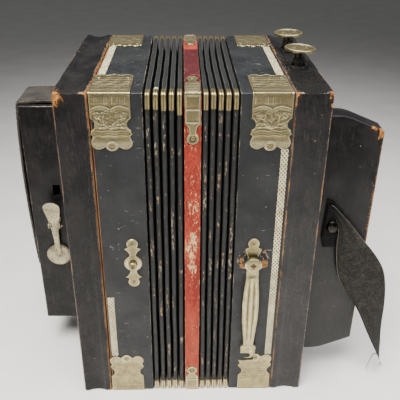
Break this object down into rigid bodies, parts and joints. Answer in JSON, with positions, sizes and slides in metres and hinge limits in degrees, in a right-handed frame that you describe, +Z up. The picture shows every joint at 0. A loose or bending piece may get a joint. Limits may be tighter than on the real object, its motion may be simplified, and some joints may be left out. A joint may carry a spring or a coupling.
{
  "type": "concertina",
  "caption": "Button melodeon: two moulded wooden box ends joined by pleated bellows, with buttons, air and bass keys, stops, a swinging clasp and hand straps.",
  "frame": {"origin": "the middle of the middle frame's underside, on the surface that the closed instrument stands on", "axes": "+X along the bellows from the bass end to the treble end, +Y from the player's side to the audience's side, +Z up"},
  "size_m": [0.3224, 0.179, 0.2948],
  "materials": {
    "ebonised_wood": "worn satin varnish",
    "leatherette": "grained, worn",
    "bellows_cloth": "glazed cloth, worn at the fold edges",
    "red_paper": "matt paper, flecked with wear",
    "nickel_silver": "embossed, tarnished",
    "leather": "dry, worn",
    "strap_cloth": "matt, frayed",
    "steel_wire": "drawn",
    "bare_wood": "unfinished",
    "bone": "polished"
  },
  "bodies": {
    "middle": {"middle_frame": "red_paper", "middle_clip_top_front": "nickel_silver", "middle_clip_top_back": "nickel_silver", "middle_clip_bottom_front": "nickel_silver", "middle_clip_bottom_back": "nickel_silver"},
    "bass_side": {"bass_case": "ebonised_wood", "bass_end_panel": "ebonised_wood", "bass_bellows_frame": "leatherette", "bass_bellows": "bellows_cloth", "bass_corner_top_front": "nickel_silver", "bass_corner_top_back": "nickel_silver", "bass_corner_bottom_front": "nickel_silver", "bass_corner_bottom_back": "nickel_silver", "catch_plate": "nickel_silver", "bass_box": "ebonised_wood", "hand_strap": "leather", "bass_reed_block": "bare_wood", "air_key_bracket": "nickel_silver", "bass_key_bracket": "nickel_silver"},
    "treble_side": {"treble_case": "ebonised_wood", "treble_end_panel": "ebonised_wood", "treble_bellows_frame": "leatherette", "treble_bellows": "bellows_cloth", "treble_corner_top_front": "nickel_silver", "treble_corner_top_back": "nickel_silver", "treble_corner_bottom_front": "nickel_silver", "treble_corner_bottom_back": "nickel_silver", "clasp_base": "nickel_silver", "keyboard_shell": "ebonised_wood", "keyboard_lid": "ebonised_wood", "key_rod": "steel_wire", "treble_reed_block": "bare_wood", "thumb_strap_anchor": "leather", "thumb_strap": "strap_cloth"},
    "clasp": {"clasp_bar": "nickel_silver"},
    "air_key": {"air_key": "nickel_silver"},
    "bass_key_1": {"bass_key_1": "nickel_silver"},
    "bass_key_2": {"bass_key_2": "nickel_silver"},
    "stop_1": {"stop_knob_1": "nickel_silver"},
    "stop_2": {"stop_knob_2": "nickel_silver"},
    "treble_key_01": {"treble_lever_01": "bare_wood", "treble_button_01": "bone"},
    "treble_key_02": {"treble_lever_02": "bare_wood", "treble_button_02": "bone"},
    "treble_key_03": {"treble_lever_03": "bare_wood", "treble_button_03": "bone"},
    "treble_key_04": {"treble_lever_04": "bare_wood", "treble_button_04": "bone"},
    "treble_key_05": {"treble_lever_05": "bare_wood", "treble_button_05": "bone"},
    "treble_key_06": {"treble_lever_06": "bare_wood", "treble_button_06": "bone"},
    "treble_key_07": {"treble_lever_07": "bare_wood", "treble_button_07": "bone"},
    "treble_key_08": {"treble_lever_08": "bare_wood", "treble_button_08": "bone"},
    "treble_key_09": {"treble_lever_09": "bare_wood", "treble_button_09": "bone"},
    "treble_key_10": {"treble_lever_10": "bare_wood", "treble_button_10": "bone"}
  },
  "joints": [
    {"name": "bass_open", "type": "slide", "parent": "middle", "child": "bass_side", "axis": [-1, 0, 0], "range_m": [0, 0.1], "deforming": ["bass_bellows"]},
    {"name": "treble_open", "type": "slide", "parent": "middle", "child": "treble_side", "axis": [1, 0, 0], "range_m": [0, 0.1], "deforming": ["treble_bellows"]},
    {"name": "clasp_swing", "type": "hinge", "parent": "treble_side", "child": "clasp", "pos_m": [0.0478, -0.0894, 0.1395], "axis": [0, 1, 0], "range_deg": [0, 90]},
    {"name": "air_key_press", "type": "hinge", "parent": "bass_side", "child": "air_key", "pos_m": [-0.121, -0.028, 0.1408], "axis": [-1, 0, 0], "range_deg": [0, 8], "stiffness_Nm_per_rad": 0.05, "springref_deg": -34.38},
    {"name": "bass_key_1_press", "type": "hinge", "parent": "bass_side", "child": "bass_key_1", "pos_m": [-0.129, 0.033, 0.1408], "axis": [1, 0, 0], "range_deg": [0, 8], "stiffness_Nm_per_rad": 0.05, "springref_deg": -34.38},
    {"name": "bass_key_2_press", "type": "hinge", "parent": "bass_side", "child": "bass_key_2", "pos_m": [-0.11, 0.033, 0.1408], "axis": [1, 0, 0], "range_deg": [0, 8], "stiffness_Nm_per_rad": 0.05, "springref_deg": -34.38},
    {"name": "stop_1_slide", "type": "slide", "parent": "treble_side", "child": "stop_1", "axis": [0, 0, 1], "range_m": [-0.008, 0]},
    {"name": "stop_2_slide", "type": "slide", "parent": "treble_side", "child": "stop_2", "axis": [0, 0, 1], "range_m": [-0.008, 0]},
    {"name": "treble_key_01_press", "type": "hinge", "parent": "treble_side", "child": "treble_key_01", "pos_m": [0.1033, -0.05, 0.0535], "axis": [0, 0, -1], "range_deg": [0, 6.5], "stiffness_Nm_per_rad": 0.04, "springref_deg": -28.65},
    {"name": "treble_key_02_press", "type": "hinge", "parent": "treble_side", "child": "treble_key_02", "pos_m": [0.1033, -0.05, 0.0725], "axis": [0, 0, -1], "range_deg": [0, 6.5], "stiffness_Nm_per_rad": 0.04, "springref_deg": -28.65},
    {"name": "treble_key_03_press", "type": "hinge", "parent": "treble_side", "child": "treble_key_03", "pos_m": [0.1033, -0.05, 0.0915], "axis": [0, 0, -1], "range_deg": [0, 6.5], "stiffness_Nm_per_rad": 0.04, "springref_deg": -28.65},
    {"name": "treble_key_04_press", "type": "hinge", "parent": "treble_side", "child": "treble_key_04", "pos_m": [0.1033, -0.05, 0.1105], "axis": [0, 0, -1], "range_deg": [0, 6.5], "stiffness_Nm_per_rad": 0.04, "springref_deg": -28.65},
    {"name": "treble_key_05_press", "type": "hinge", "parent": "treble_side", "child": "treble_key_05", "pos_m": [0.1033, -0.05, 0.1295], "axis": [0, 0, -1], "range_deg": [0, 6.5], "stiffness_Nm_per_rad": 0.04, "springref_deg": -28.65},
    {"name": "treble_key_06_press", "type": "hinge", "parent": "treble_side", "child": "treble_key_06", "pos_m": [0.1033, -0.05, 0.1485], "axis": [0, 0, -1], "range_deg": [0, 6.5], "stiffness_Nm_per_rad": 0.04, "springref_deg": -28.65},
    {"name": "treble_key_07_press", "type": "hinge", "parent": "treble_side", "child": "treble_key_07", "pos_m": [0.1033, -0.05, 0.1675], "axis": [0, 0, -1], "range_deg": [0, 6.5], "stiffness_Nm_per_rad": 0.04, "springref_deg": -28.65},
    {"name": "treble_key_08_press", "type": "hinge", "parent": "treble_side", "child": "treble_key_08", "pos_m": [0.1033, -0.05, 0.1865], "axis": [0, 0, -1], "range_deg": [0, 6.5], "stiffness_Nm_per_rad": 0.04, "springref_deg": -28.65},
    {"name": "treble_key_09_press", "type": "hinge", "parent": "treble_side", "child": "treble_key_09", "pos_m": [0.1033, -0.05, 0.2055], "axis": [0, 0, -1], "range_deg": [0, 6.5], "stiffness_Nm_per_rad": 0.04, "springref_deg": -28.65},
    {"name": "treble_key_10_press", "type": "hinge", "parent": "treble_side", "child": "treble_key_10", "pos_m": [0.1033, -0.05, 0.2245], "axis": [0, 0, -1], "range_deg": [0, 6.5], "stiffness_Nm_per_rad": 0.04, "springref_deg": -28.65}
  ],
  "couplings": [
    {"joint": "treble_open", "follows": "bass_open", "ratio": 1}
  ]
}
